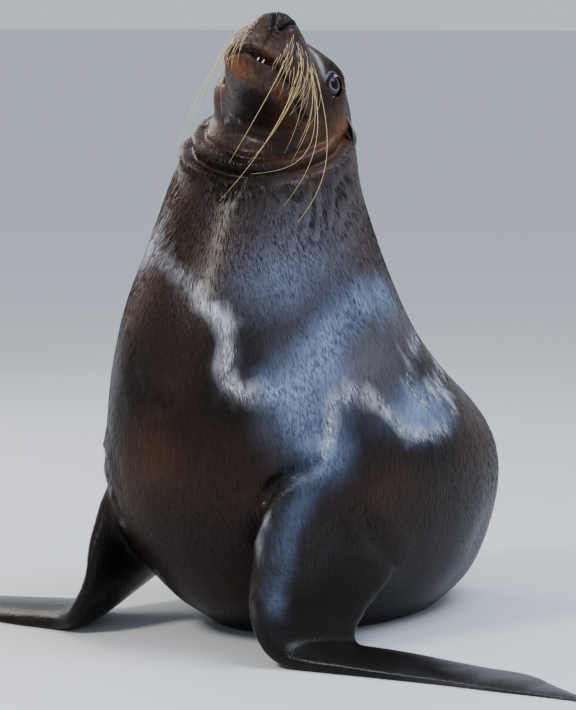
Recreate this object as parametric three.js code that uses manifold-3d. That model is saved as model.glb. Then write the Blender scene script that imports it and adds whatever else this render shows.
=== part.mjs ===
// A sea lion (Zalophus californianus, subadult male) sitting up with its head raised and turned,
// life size, as a still museum model. Each named part of the body is one closed solid.
// Millimetres, +Z up. The animal faces -Y and its left side is +X.
// The origin is on the floor, under the belly that it sits on.
import * as THREE from "three";
import { ParametricGeometry } from "three/addons/geometries/ParametricGeometry.js";
import { mergeVertices } from "three/addons/utils/BufferGeometryUtils.js";
import Module from "manifold-3d";

const wasm = await Module();
wasm.setup();

// ---- driving dimensions ----

const GAP = 0.4; // clear space left between two neighbouring parts
const FAR = 2000; // larger than the animal, for cutting blocks

// Level slices of trunk and neck: height, front, back, half width.
const TRUNK = [
  [-60, -110, 120, 80],
  [0, -186, 245, 142],
  [40, -256, 314, 182],
  [75, -298, 338, 204],
  [150, -366, 362, 236],
  [210, -392, 368, 250],
  [270, -401, 350, 254],
  [330, -398, 296, 247],
  [390, -389, 212, 234],
  [450, -374, 145, 219],
  [510, -357, 104, 202],
  [600, -312, 57, 175],
  [705, -262, 18, 148],
  [745, -240, 18, 138],
  [785, -205, 18, 119],
  [815, -160, 6, 90],
];
const TRUNK_TOP = 830; // the neck closes here, inside the head
const TRUNK_BOTTOM = -70;

// The throat fold, where the head meets the neck, and the cuts that part neck, chest and hindquarters.
const THROAT_CUT = { at: [0, -150, 742], towards: [0.075, -0.24, 0.957] };
const NECK_CUT = { at: [0, -130, 560], towards: [0, 0.12, 0.99] };
const CHEST_CUT = { at: [0, 10, 250], towards: [0, -0.72, 0.69] };

const HEAD_AT = [0, -62, 788]; // between the ears
const HEAD_TURN = 33; // degrees to its own left
const HEAD_LIFT = 29; // degrees nose up
const HEAD_ROLL = 26; // degrees left side down
const HEAD_SCALE = 1.15;

// Head slices across the nose axis, in the head's own frame:
// distance in front of the ears, top, bottom, height of the widest line, half width.
const HEAD = [
  [-54, 12, -34, -6, 22],
  [-32, 48, -68, -8, 64],
  [0, 67, -90, -8, 86],
  [50, 71, -94, -8, 86],
  [90, 69, -86, -8, 80],
  [120, 61, -77, -12, 69],
  [150, 49, -69, -21, 60],
  [180, 43, -65, -25, 57],
  [206, 43, -60, -21, 51],
  [224, 40, -50, -10, 39],
  [236, 37, -35, -2, 29],
  [243, 30, -20, 5, 20],
  [246, 19, -5, 8, 10],
];
const HEAD_SQUARE = 0.9; // below 1 the slices grow squarer
const MUZZLE_PEAK = 0.5; // added above the widest line of the muzzle, so that it narrows to its bridge

// Swells and hollows of the head: left, forward, up, radius, height. Each has its twin on the right.
const SWELLS = [
  [46, 202, -14, 24, 5], // whisker pad
  [50, 166, -6, 22, -4], // waist of the muzzle
  [58, 114, 46, 23, 9], // brow
  [62, 120, 12, 16, -3], // eye socket
  [70, 98, 34, 20, 4], // rim behind the eye
  [74, 60, -34, 40, 6], // jaw muscle
  [74, 98, -40, 28, 6], // cheek
  [0, 210, -46, 20, 4], // chin
  [0, 238, -10, 9, -4], // groove between the pads
  [0, 233, 30, 14, 1], // nose pad
  [20, 233, 22, 12, 4], // wing of the nostril
];

// The mouth line from the front of the lips back to its corner: forward, up.
const MOUTH_LINE = [[262, -31], [238, -30], [215, -36], [190, -42], [160, -42], [124, -43]];
const JAW_BACK = [[106, -58], [84, -140], [262, -140]]; // behind the corner of the mouth and under the chin
const MOUTH_GAPE = { at: [6, 238, -31], half: [17, 16, 6] }; // the lips part a little in front
const TEETH = [0, 8]; // how far left of the middle the two lower teeth stand

const EYE_AT = [57, 106, 24]; // left eye's centre in the head's own frame
const EYE_RADIUS = 19;
// Root and tip of each ear. The fold of the neck lifts the left one.
const EARS = {
  left: { root: [84, 46, 14], tip: [110, 37, -9] },
  right: { root: [-80, 40, 14], tip: [-103, 26, -12] },
};
const EAR_HALF = [8, 5];

// ---- materials ----

const coat = (color) => new THREE.MeshStandardMaterial({ color, roughness: 0.38, metalness: 0 });
const materials = {
  fur: coat("#241913"),
  face: coat("#3a281d"),
  flipper: coat("#1b1614"),
  eye: new THREE.MeshStandardMaterial({ color: "#120c0a", roughness: 0.08, metalness: 0 }),
  claw: new THREE.MeshStandardMaterial({ color: "#4a4038", roughness: 0.45, metalness: 0 }),
};

// ---- helpers ----

const radians = THREE.MathUtils.degToRad;

// A smooth function through rows of [position, value, value, ...].
function profile(rows) {
  const positions = rows.map((row) => row[0]);
  const values = rows.flatMap((row) => row.slice(1));
  const curve = new THREE.CubicInterpolant(positions, values, rows[0].length - 1);
  const [first, last] = [positions[0], positions.at(-1)];
  return (position) => Array.from(curve.evaluate(THREE.MathUtils.clamp(position, first, last)));
}

// A closed three.js geometry as a solid, its seams merged and its collapsed triangles dropped.
function solid(geometry) {
  const bare = geometry.index ? geometry.clone() : geometry;
  bare.deleteAttribute("normal");
  bare.deleteAttribute("uv");
  const merged = mergeVertices(bare, 1e-3);
  const corners = merged.index.array;
  const kept = [];
  for (let i = 0; i < corners.length; i += 3) {
    const [a, b, c] = corners.slice(i, i + 3);
    if (a !== b && b !== c && c !== a) kept.push(a, b, c);
  }
  const vertProperties = new Float32Array(merged.getAttribute("position").array);
  const made = () => {
    const triVerts = new Uint32Array(kept);
    return new wasm.Manifold(new wasm.Mesh({ numProp: 3, vertProperties, triVerts }));
  };
  if (made().volume() < 0) kept.reverse();
  return made();
}

// A closed skin of rings: point(angle, along) gives the place of each point, along runs 0 to 1.
function loft(point, around, along) {
  const spot = (u, v, target) => target.copy(point(u * 2 * Math.PI, v));
  return solid(new ParametricGeometry(spot, around, along));
}

// A block that fills all space in front of a plane.
function halfSpace(at, towards) {
  const block = new THREE.BoxGeometry(FAR, FAR, FAR).translate(0, 0, FAR / 2);
  const upwards = new THREE.Vector3(0, 0, 1);
  const turn = new THREE.Quaternion().setFromUnitVectors(upwards, towards.clone().normalize());
  block.applyQuaternion(turn).translate(...at.toArray());
  return solid(block);
}

function named(name, shape, material) {
  const { vertProperties, triVerts } = shape.getMesh();
  const geometry = new THREE.BufferGeometry();
  geometry.setAttribute("position", new THREE.BufferAttribute(vertProperties, 3));
  geometry.setIndex(new THREE.BufferAttribute(triVerts, 1));
  geometry.computeVertexNormals();
  const mesh = new THREE.Mesh(geometry, material);
  mesh.name = name;
  return mesh;
}

// ---- trunk and neck ----

function trunk(grow = 0) {
  const slice = profile(TRUNK);
  const point = (angle, along) => {
    const turn = along * Math.PI;
    const z = THREE.MathUtils.lerp(TRUNK_BOTTOM, TRUNK_TOP, (1 - Math.cos(turn)) / 2 * 0.35 + along * 0.65);
    const closing = Math.min(1, Math.sqrt(Math.max(0, 1 - Math.abs(2 * along - 1) ** 24)));
    const [front, back, half] = slice(z);
    const deep = ((back - front) / 2 + grow) * closing;
    return new THREE.Vector3(
      (half + grow) * closing * Math.sin(angle),
      (back + front) / 2 + deep * Math.cos(angle),
      z,
    );
  };
  return loft(point, 32, 30);
}

// ---- head ----

const headFrame = new THREE.Matrix4()
  .makeRotationFromEuler(new THREE.Euler(-radians(HEAD_LIFT), radians(HEAD_ROLL), radians(HEAD_TURN), "ZXY"))
  .scale(new THREE.Vector3(HEAD_SCALE, HEAD_SCALE, HEAD_SCALE))
  .setPosition(...HEAD_AT);

// A place in the head's own frame, given as left, forward and up, in the frame of the whole animal.
const inHead = (left, forward, up) => new THREE.Vector3(left, -forward, up).applyMatrix4(headFrame);

function swellAt(left, forward, up) {
  const place = new THREE.Vector3(left, forward, up);
  let height = 0;
  for (const [x, y, z, radius, rise] of SWELLS) {
    for (const side of x ? [1, -1] : [1]) {
      const away = place.distanceTo(new THREE.Vector3(x * side, y, z)) / radius;
      height += rise * Math.exp(-away * away);
    }
  }
  return height;
}

function skull(grow = 0) {
  const slice = profile(HEAD);
  const [first, last] = [HEAD[0][0], HEAD.at(-1)[0]];
  const squared = (value) => Math.sign(value) * Math.abs(value) ** HEAD_SQUARE;
  const point = (angle, along) => {
    const forward = THREE.MathUtils.lerp(first, last, Math.sin(along * Math.PI / 2) ** 0.85);
    const [top, bottom, level, half] = slice(forward);
    const closing = along === 0 || along === 1 ? 0 : 1;
    const rise = squared(Math.cos(angle));
    const peak = MUZZLE_PEAK * THREE.MathUtils.smoothstep(forward, 110, 180) * Math.max(0, rise);
    const across = squared(Math.sin(angle)) * Math.abs(Math.sin(angle)) ** peak;
    const reach = rise > 0 ? top - level : level - bottom;
    const out = grow + swellAt(half * across, forward, level + reach * rise);
    return inHead((half + out) * across * closing, forward, level + (reach + out) * rise * closing);
  };
  return loft(point, 30, 30);
}

// ---- a limb's piece: a loft through stations of place, half chord, half thickness and heading ----

function paddle(stations, { around, along, blunt = 0.65, place = (spot) => spot }) {
  const station = profile(stations.map((row, i) => [i / (stations.length - 1), ...row]));
  const middle = (t) => new THREE.Vector3(...station(t).slice(0, 3));
  const point = (angle, t) => {
    const [x, y, z, chord, thick, heading] = station(t);
    const tangent = middle(Math.min(1, t + 0.01)).sub(middle(Math.max(0, t - 0.01))).normalize();
    const across = new THREE.Vector3(Math.sin(radians(heading)), Math.cos(radians(heading)), 0);
    const normal = new THREE.Vector3().crossVectors(across, tangent).normalize();
    const closing = t === 0 || t === 1 ? 0 : 1;
    const taper = blunt + (1 - blunt) * Math.cos(angle);
    return place(new THREE.Vector3(x, y, z)
      .addScaledVector(across, -chord * closing * Math.cos(angle))
      .addScaledVector(normal, thick * closing * taper * Math.sin(angle)));
  };
  return loft(point, around, along);
}

// ---- foreflippers ----

// Stations of the left foreflipper from inside the shoulder to the tip:
// place of the middle, half chord, half thickness, and the chord's heading in degrees from +Y.
const FOREFLIPPER = [
  [110, -150, 310, 96, 28, 0],
  [180, -231, 235, 106, 38, 0],
  [189, -240, 150, 126, 40, 4],
  [197, -218, 112, 155, 37, 8],
  [204, -234, 84, 141, 34, 12],
  [211, -269, 50, 103, 31, 15],
  [228, -284, 20, 82, 28, 17],
  [264, -263, 11, 85, 26, 14],
  [330, -243, 8, 77, 22, 3],
  [400, -231, 6, 68, 18, 0],
  [470, -220, 5, 61, 14, 0],
  [535, -209, 4, 58, 11, -5],
  [600, -217, 3, 34, 8, -10],
  [660, -224, 2, 16, 6, -10],
  [700, -228, 2, 6, 4, -10],
];
const HEEL = new THREE.Vector3(215, -300, 0); // the blade turns about the heel of the wrist
const SWEEP_RIGHT = 20; // degrees the right blade points further forward
// The right forearm stands closer in: its shift at the floor, and at the height of the armpit.
const RIGHT_SHIFT = { height: 150, floor: [10, -30], armpit: [22, 14] };
const RIGHT_WEB = 34; // its web reaches this much further back above the wrist

function foreflipper(side) {
  if (side > 0) return paddle(FOREFLIPPER, { around: 16, along: 32 });
  const webbed = FOREFLIPPER.map(([x, y, z, chord, thick, heading]) => {
    const web = RIGHT_WEB * Math.sin(Math.PI * THREE.MathUtils.clamp(z / RIGHT_SHIFT.height, 0, 1)) ** 0.5;
    return [x, y + web, z, chord + web, thick, heading];
  });
  const place = (spot) => {
    const share = THREE.MathUtils.clamp(spot.z / RIGHT_SHIFT.height, 0, 1.3);
    const turned = THREE.MathUtils.smoothstep(spot.x, HEEL.x, HEEL.x + 90);
    spot.sub(HEEL).applyAxisAngle(new THREE.Vector3(0, 0, 1), -radians(SWEEP_RIGHT) * turned).add(HEEL);
    spot.x -= THREE.MathUtils.lerp(RIGHT_SHIFT.floor[0], RIGHT_SHIFT.armpit[0], share);
    spot.y += THREE.MathUtils.lerp(RIGHT_SHIFT.floor[1], RIGHT_SHIFT.armpit[1], share);
    spot.x *= -1;
    return spot;
  };
  return paddle(webbed, { around: 16, along: 32, place });
}

// ---- hind flippers and tail, laid behind the rump and swept to the animal's right ----

// Each hind flipper: place of the ankle, and heading of the middle toe in degrees from +Y towards -X.
const HIND_FLIPPERS = {
  left: { ankle: [-14, 256], heading: 42 },
  right: { ankle: [-98, 212], heading: 74 },
};
const HIND_LENGTH = 245;
const ANKLE_HALF = 31;
const FAN = 12; // degrees from the middle toe to each edge of the flipper
const TOES = 5;
const NOTCH = 0.12; // how deep the edge is cut between two toes, as a share of the length
const ANKLE_THICK = 40;
const TOE_THICK = 7;
const TAIL = [
  [-34, 205, 80, 34, 24, 0],
  [-70, 255, 58, 27, 18, 0],
  [-106, 296, 38, 20, 12, 0],
  [-134, 324, 26, 9, 6, 0],
];

// How near a place across the flipper is to the middle of a toe: 1 on it, 0 in the notch beside it.
const toeAt = (across) => Math.abs(Math.sin(Math.PI * TOES * (across + 1) / 2)) ** 0.5;

// The top of a hind flipper, across it from -1 to 1 and along it from the ankle at 0 to the tips at 1.
function fanTop({ ankle, heading }, across, along) {
  const turn = radians(heading + across * FAN);
  const level = radians(heading);
  const outer = 1 + 0.06 * across * across;
  const reach = HIND_LENGTH * outer * (1 - NOTCH * (1 - toeAt(across))) * along;
  const thick = THREE.MathUtils.lerp(ANKLE_THICK, TOE_THICK, Math.max(0, along) ** 0.6);
  return new THREE.Vector3(
    ankle[0] - ANKLE_HALF * across * Math.cos(level) - reach * Math.sin(turn),
    ankle[1] - ANKLE_HALF * across * Math.sin(level) + reach * Math.cos(turn),
    thick * (0.6 + 0.4 * toeAt(across)),
  );
}

function hindFlipper(plan, grow = 0) {
  const point = (angle, t) => {
    const along = THREE.MathUtils.lerp(-0.25, 1, t);
    const edge = Math.abs(Math.sin(angle)) ** 0.5;
    const closing = t === 0 || t === 1 ? 0 : 1;
    const top = fanTop(plan, -Math.cos(angle), along);
    top.z = Math.sin(angle) > 0 ? (top.z + grow) * edge * closing : -10 * edge * closing;
    return top;
  };
  return loft(point, 40, 9);
}

// A tapering finger from one place to another.
function finger(from, to, { across, thick, around = 10, along = 6 }) {
  const axis = to.clone().sub(from);
  const sideways = new THREE.Vector3(axis.y, -axis.x, 0).normalize();
  const point = (angle, t) => {
    const closing = Math.sin(Math.PI * THREE.MathUtils.clamp(t, 0, 1)) ** 0.35;
    return from.clone().addScaledVector(axis, t)
      .addScaledVector(sideways, THREE.MathUtils.lerp(...across, t) * closing * Math.cos(angle))
      .add(new THREE.Vector3(0, 0, THREE.MathUtils.lerp(...thick, t) * closing * Math.sin(angle)));
  };
  return loft(point, around, along);
}

function hindClaw(plan, toe) {
  const across = (toe + 0.5) / TOES * 2 - 1;
  const root = fanTop(plan, across, 0.6);
  const tip = fanTop(plan, across, 0.7);
  tip.z += 2;
  return finger(root, tip, { across: [4, 2.5], thick: [3.5, 2.5], around: 8, along: 4 });
}

// ---- cutting the whole into its named parts ----

const floor = halfSpace(new THREE.Vector3(0, 0, 0), new THREE.Vector3(0, 0, -1));

// The two sides of a plane, with half the gap taken from each.
function sidesOf({ at, towards }) {
  const way = new THREE.Vector3(...towards).normalize();
  const middle = new THREE.Vector3(...at);
  return [
    halfSpace(middle.clone().addScaledVector(way, GAP / 2), way),
    halfSpace(middle.clone().addScaledVector(way, -GAP / 2), way.clone().negate()),
  ];
}

// The lower jaw's share of the skull: all of it that lies under the mouth line.
function jawShare(grow = 0) {
  const outline = [
    ...MOUTH_LINE.map(([forward, up]) => [forward, up + grow]),
    ...JAW_BACK.map(([forward, up]) => [forward - grow, up]),
  ];
  const shape = new THREE.Shape(outline.map(([forward, up]) => new THREE.Vector2(forward, up)));
  const block = new THREE.ExtrudeGeometry(shape, { depth: 400, bevelEnabled: false }).translate(0, 0, -200);
  // Shape x is forward, shape y is up and the depth runs across the head.
  const turn = new THREE.Matrix4().makeBasis(
    new THREE.Vector3(0, -1, 0), new THREE.Vector3(0, 0, 1), new THREE.Vector3(-1, 0, 0));
  return solid(block.applyMatrix4(turn).applyMatrix4(headFrame)).intersect(skull(grow));
}

function ball(at, half, detail = 11) {
  const [x, y, z] = at;
  return solid(new THREE.SphereGeometry(1, detail, detail * 0.75)
    .scale(half[0], half[1], half[2]).translate(x, -y, z).applyMatrix4(headFrame));
}

function tooth(left) {
  const cone = new THREE.ConeGeometry(2, 7, 6).rotateX(Math.PI / 2).translate(left, -231, -33);
  return solid(cone.applyMatrix4(headFrame));
}

const eyeHalf = (grow = 0) => Array(3).fill((EYE_RADIUS + grow) / HEAD_SCALE);
const eyeAt = (side) => [EYE_AT[0] * side, EYE_AT[1], EYE_AT[2]];

function ear({ root, tip }) {
  return finger(inHead(...root), inHead(...tip), { across: [EAR_HALF[0], 4], thick: [EAR_HALF[1], 3] });
}

const whole = trunk().add(skull()).subtract(floor);
const [headSide, bodySide] = sidesOf(THROAT_CUT);
const [neckSide, belowNeck] = sidesOf(NECK_CUT);
const [chestSide, hindSide] = sidesOf(CHEST_CUT);

let headWhole = whole.intersect(headSide).subtract(ball(MOUTH_GAPE.at, MOUTH_GAPE.half));
for (const side of [1, -1]) headWhole = headWhole.subtract(ball(eyeAt(side), eyeHalf(GAP)));
let jaw = headWhole.intersect(jawShare());
for (const left of TEETH) jaw = jaw.add(tooth(left));
const lower = whole.intersect(bodySide).intersect(belowNeck);

const grown = trunk(GAP);
const seaLion = new THREE.Group();
seaLion.add(named("head", headWhole.subtract(jawShare(GAP)), materials.face));
seaLion.add(named("lower_jaw", jaw, materials.face));
seaLion.add(named("neck", whole.intersect(bodySide).intersect(neckSide), materials.fur));
seaLion.add(named("chest", lower.intersect(chestSide), materials.fur));
seaLion.add(named("hindquarters", lower.intersect(hindSide), materials.fur));

for (const [side, word] of [[1, "left"], [-1, "right"]]) {
  const limb = foreflipper(side).subtract(grown).subtract(floor);
  const [forearmSide, bladeSide] = sidesOf({ at: [side * 250, -270, 20], towards: [-side, -0.1, 0.25] });
  seaLion.add(named(`${word}_forearm`, limb.intersect(forearmSide), materials.flipper));
  seaLion.add(named(`${word}_foreflipper`, limb.intersect(bladeSide), materials.flipper));
  seaLion.add(named(`${word}_eye`, ball(eyeAt(side), eyeHalf()), materials.eye));
  seaLion.add(named(`${word}_ear`, ear(EARS[word]).subtract(grown).subtract(skull(GAP)), materials.face));
}

let tail = paddle(TAIL, { around: 12, along: 8, blunt: 1 }).subtract(grown);
for (const [word, plan] of Object.entries(HIND_FLIPPERS)) {
  const flipper = hindFlipper(plan).subtract(floor);
  tail = tail.subtract(hindFlipper(plan, GAP));
  seaLion.add(named(`${word}_hind_flipper`, flipper.subtract(grown), materials.flipper));
  for (const toe of [1, 2, 3]) {
    const claw = hindClaw(plan, toe).subtract(hindFlipper(plan, GAP));
    seaLion.add(named(`${word}_hind_claw_${toe}`, claw, materials.claw));
  }
}
seaLion.add(named("tail", tail.subtract(floor), materials.fur));

export default seaLion;
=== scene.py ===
# %% [markdown]
# # A seated sea lion
# A life-size model of a young male sea lion, sitting up on its fore flippers with its nose raised.
# The solids of the part give the animal's volume. This script grows one skin over them, works folds,
# lids and lips into it, lays short wet fur on it, adds eyes, ears, whiskers and teeth, and gives the claws
# their horn.
# Everything is in metres in the part's own frame: +Z up, the chest faces -Y, its left side is +X.

# %% Load the solids
import math

import bmesh
import bpy
import numpy as np
from mathutils import Matrix, Vector
from mathutils.bvhtree import BVHTree
from numpy.linalg import norm


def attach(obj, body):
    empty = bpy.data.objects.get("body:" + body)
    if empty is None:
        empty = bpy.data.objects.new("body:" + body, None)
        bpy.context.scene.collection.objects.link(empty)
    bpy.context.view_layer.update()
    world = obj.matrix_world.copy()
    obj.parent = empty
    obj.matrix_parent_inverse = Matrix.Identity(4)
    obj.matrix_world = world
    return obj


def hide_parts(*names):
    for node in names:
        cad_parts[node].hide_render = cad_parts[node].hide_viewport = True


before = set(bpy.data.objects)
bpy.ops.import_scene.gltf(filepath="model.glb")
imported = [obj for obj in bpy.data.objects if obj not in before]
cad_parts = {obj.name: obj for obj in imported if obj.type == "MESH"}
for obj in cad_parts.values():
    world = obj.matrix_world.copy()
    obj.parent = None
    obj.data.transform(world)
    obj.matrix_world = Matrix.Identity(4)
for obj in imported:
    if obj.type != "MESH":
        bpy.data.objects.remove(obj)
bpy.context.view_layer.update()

# %% [markdown]
# ## The head's own frame
# The head is turned to the animal's left, lifted, and tilted with its left side down. All its
# features are placed in its own frame, in millimetres of head size: left, forward and up.

# %% Head frame and small helpers
HEAD_AT = Vector((0.0, -0.062, 0.788))
HEAD_TURN, HEAD_LIFT, HEAD_ROLL = (math.radians(a) for a in (33, 29, 26))
HEAD_SCALE = 1.15
EYE_AT = np.array([55.4, 106.2, 23.1])  # the left eye's centre
GAZE = np.array([0.72, 0.65, 0.25]) / norm([0.72, 0.65, 0.25])
HEAD_TURNED = np.array(
    Matrix.Rotation(HEAD_TURN, 3, "Z") @ Matrix.Rotation(-HEAD_LIFT, 3, "X")
    @ Matrix.Rotation(HEAD_ROLL, 3, "Y"))
AXES = np.array([[1, 0, 0], [0, -1, 0], [0, 0, 1]])


def to_head(places):
    """Places in the frame of the animal as left, forward, up in the head's frame."""
    return (np.asarray(places) - HEAD_AT) @ HEAD_TURNED @ AXES * (1000 / HEAD_SCALE)


def from_head(places):
    """Left, forward, up in the head's frame as places in the frame of the animal."""
    return np.asarray(places, float) @ AXES @ HEAD_TURNED.T * (HEAD_SCALE / 1000) + np.array(HEAD_AT)


def head_way(way):
    """A direction in the head's frame as a unit direction in the frame of the animal."""
    turned = np.asarray(way, float) @ AXES @ HEAD_TURNED.T
    return turned / norm(turned, axis=-1, keepdims=True)


def on_left(spots):
    """Places in the head's frame, with those on its right mirrored to its left."""
    return np.column_stack([np.abs(spots[:, 0]), spots[:, 1:]])


def ramp(value, start, end):
    """0 before start, 1 after end, smooth between them."""
    share = np.clip((value - start) / (end - start), 0, 1)
    return share * share * (3 - 2 * share)


def bell(distance, width):
    """1 at no distance, falling off within about the width."""
    return np.exp(-(distance / width) ** 2)


def oval(places, centre, half):
    """1 at the centre of an oval of these half sizes, falling off within about them."""
    return bell(norm((places - np.asarray(centre)) / half, axis=1), 1.0)


def path_distance(places, path):
    """How far each place is from a path through some points."""
    path = np.asarray(path, float)
    nearest = np.full(len(places), 1e9)
    for start, end in zip(path[:-1], path[1:]):
        way = end - start
        share = np.clip((places - start) @ way / (way @ way), 0, 1)
        nearest = np.minimum(nearest, norm(places - start - share[:, None] * way, axis=1))
    return nearest


def body_distance(places, path):
    """How far each place is from a path given in millimetres, in metres."""
    return path_distance(places, np.array(path) / 1000)


print("nose tip:", np.round(from_head([0, 246, 5]), 3))

# %% [markdown]
# ## One skin over all the flesh
# A sea lion has a single hide, so the flesh solids are joined and remeshed into one closed skin.
# The remesh closes the thin cuts between them. Smoothing then takes away the flat facets: much on the
# round trunk, little on the head and the thin flippers.

# %% Remesh the flesh
FLESH = ["head", "lower_jaw", "neck", "chest", "hindquarters", "tail"]
for limb in ("forearm", "foreflipper", "hind_flipper"):
    FLESH += ["left_" + limb, "right_" + limb]
GRAIN = 0.0034


def read(what, key, size, kind=float):
    """One property of all corners, edges or faces as an array with this many columns."""
    values = np.empty(len(what) * size, kind)
    what.foreach_get(key, values)
    return values.reshape(-1, size)


def put(mesh, places):
    """Moves the corners of a mesh to these places."""
    mesh.vertices.foreach_set("co", places.ravel())
    mesh.update()


def link(name, data):
    """A new piece of the scene with this mesh, lamp or camera."""
    piece = bpy.data.objects.new(name, data)
    bpy.context.scene.collection.objects.link(piece)
    return piece


def mesh_from(name, corners, faces, edges=()):
    """A mesh of these corners and faces, or of edges alone."""
    mesh = bpy.data.meshes.new(name)
    mesh.from_pydata(np.asarray(corners).tolist(), edges, faces)
    mesh.update()
    return mesh


def shade_smooth(mesh):
    """Hides the edges between faces."""
    mesh.polygons.foreach_set("use_smooth", [True] * len(mesh.polygons))


def evaluated(piece):
    """The mesh that a piece's modifiers make of it."""
    return bpy.data.meshes.new_from_object(piece.evaluated_get(bpy.context.evaluated_depsgraph_get()))


corners, faces, count = [], [], 0
for name in FLESH:
    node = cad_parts[name]
    node.data.calc_loop_triangles()
    turned = np.array(node.matrix_world)
    places = read(node.data.vertices, "co", 3) @ turned[:3, :3].T + turned[:3, 3]
    corners.append(places)
    faces.append(read(node.data.loop_triangles, "vertices", 3, np.int32) + count)
    count += len(places)
flesh = link("flesh", mesh_from("flesh", np.concatenate(corners), np.concatenate(faces).tolist()))
remesh = flesh.modifiers.new("one skin", "REMESH")
remesh.mode = "VOXEL"
remesh.voxel_size = GRAIN
skin_mesh = evaluated(flesh)
bpy.data.objects.remove(flesh)
print("skin as remeshed:", len(skin_mesh.vertices), "corners")

# %% Smooth the skin


def part_masks(places):
    """How much each place belongs to the head, to a fore flipper's blade, and to hind flippers or tail."""
    x, y, z = places.T
    head = ramp(to_head(places)[:, 1], -10, 50) * ramp(z, 0.70, 0.78)
    blade = ramp(z, 0.11, 0.07) * ramp(np.abs(x), 0.20, 0.235) * ramp(y, -0.10, -0.16)
    behind = np.hypot(x / 0.2, (y - 0.03) / 0.32)
    hind = ramp(z, 0.075, 0.05) * ramp(behind, 1.0, 1.08) * ramp(y, 0.1, 0.16)
    return head, blade, hind


def smooth(places, edges, amount, rounds):
    """Moves each place part of the way to the middle of its neighbours, so many times."""
    ends = np.concatenate([edges[:, 0], edges[:, 1]])
    others = np.concatenate([edges[:, 1], edges[:, 0]])
    pull = 0.5 * np.asarray(amount)[:, None]
    shares = pull / np.bincount(ends, minlength=len(places))[:, None]
    for _ in range(rounds):
        total = np.stack([np.bincount(ends, places[others, k], len(places)) for k in range(3)], 1)
        places = places * (1 - pull) + shares * total
    return places


places = read(skin_mesh.vertices, "co", 3)
edges = read(skin_mesh.edges, "vertices", 2, np.int32)
head, blade, hind = part_masks(places)
places = smooth(places, edges, 1 - 0.86 * np.maximum(np.maximum(head, blade), hind), 70)
# The back of each upper arm runs into the flank with no step.
for armpit in ((0.205, -0.13, 0.19), (-0.19, -0.11, 0.19)):
    places = smooth(places, edges, oval(places, armpit, (0.07, 0.085, 0.13)), 160)
# Under the chin the jaw runs into the throat with no step.
UNDER_CHIN = [
    (-80, -180, 788), (-31, -205, 779), (16, -212, 775), (51, -207, 772), (84, -199, 773),
    (107, -180, 774), (120, -160, 782)]
places = smooth(places, edges, bell(body_distance(places, UNDER_CHIN), 0.02), 120)
places[:, 2] = np.maximum(places[:, 2], 0.0004)
put(skin_mesh, places)
print("skin smoothed, top at", round(float(places[:, 2].max()), 3))

# %% [markdown]
# The trunk is large and calm, the face small and full of detail. So the skin's mesh is thinned on the
# trunk, and made finer on the face, where lids, lips and nostrils are worked in.

# %% Thin the trunk and refine the face
skin = link("skin", skin_mesh)
head, blade, hind = part_masks(places)
group = skin.vertex_groups.new(name="trunk")
share = 1 - np.maximum(head, 0.55 * np.maximum(blade, hind))
for level in range(11):
    chosen = np.nonzero(np.round(share * 10) == level)[0]
    group.add(chosen.tolist(), level / 10, "REPLACE")
thin = skin.modifiers.new("thin the trunk", "DECIMATE")
thin.ratio = 0.24
thin.vertex_group = "trunk"
thin.vertex_group_factor = 10
skin_mesh = evaluated(skin)
skin.modifiers.clear()
skin.vertex_groups.clear()
skin.data = skin_mesh
print("skin thinned:", len(skin_mesh.polygons), "faces")


def refine(work, near):
    """Halves every edge whose two ends are near."""
    chosen = [e for e in work.edges if near[e.verts[0].index] and near[e.verts[1].index]]
    bmesh.ops.subdivide_edges(work, edges=chosen, cuts=1, use_grid_fill=True)
    bmesh.ops.triangulate(work, faces=work.faces)
    work.verts.index_update()


def from_eye(spots):
    """How far each place of the head is from the centre of the eye on its side, and how far ahead."""
    out = on_left(spots) - EYE_AT
    return norm(out, axis=1), out @ GAZE


work = bmesh.new()
work.from_mesh(skin_mesh)
spots = to_head([v.co for v in work.verts])
left, forward, up = spots.T
reach, ahead = from_eye(spots)
# The sockets behind the eyeballs stay coarse.
seen = (reach > 20) | (ahead > 5)
refine(work, seen & (forward > 92) & (up > -75) & (np.hypot(left / 95, up / 90) < 1))
reach, ahead = from_eye(to_head([v.co for v in work.verts]))
refine(work, (reach < 24) & (ahead > 6))
work.to_mesh(skin_mesh)
work.free()
print("skin refined:", len(skin_mesh.polygons), "faces")

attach(skin, "root")
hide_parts(*FLESH)
shade_smooth(skin_mesh)

# %% [markdown]
# ## Folds of the hide
# Loose hide folds where the body bends: twice across the throat from ear to ear, across the breast, and
# over the front of each upper arm. Each fold is a path over the surface with a groove along it and a
# soft roll of fat on either side.

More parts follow.
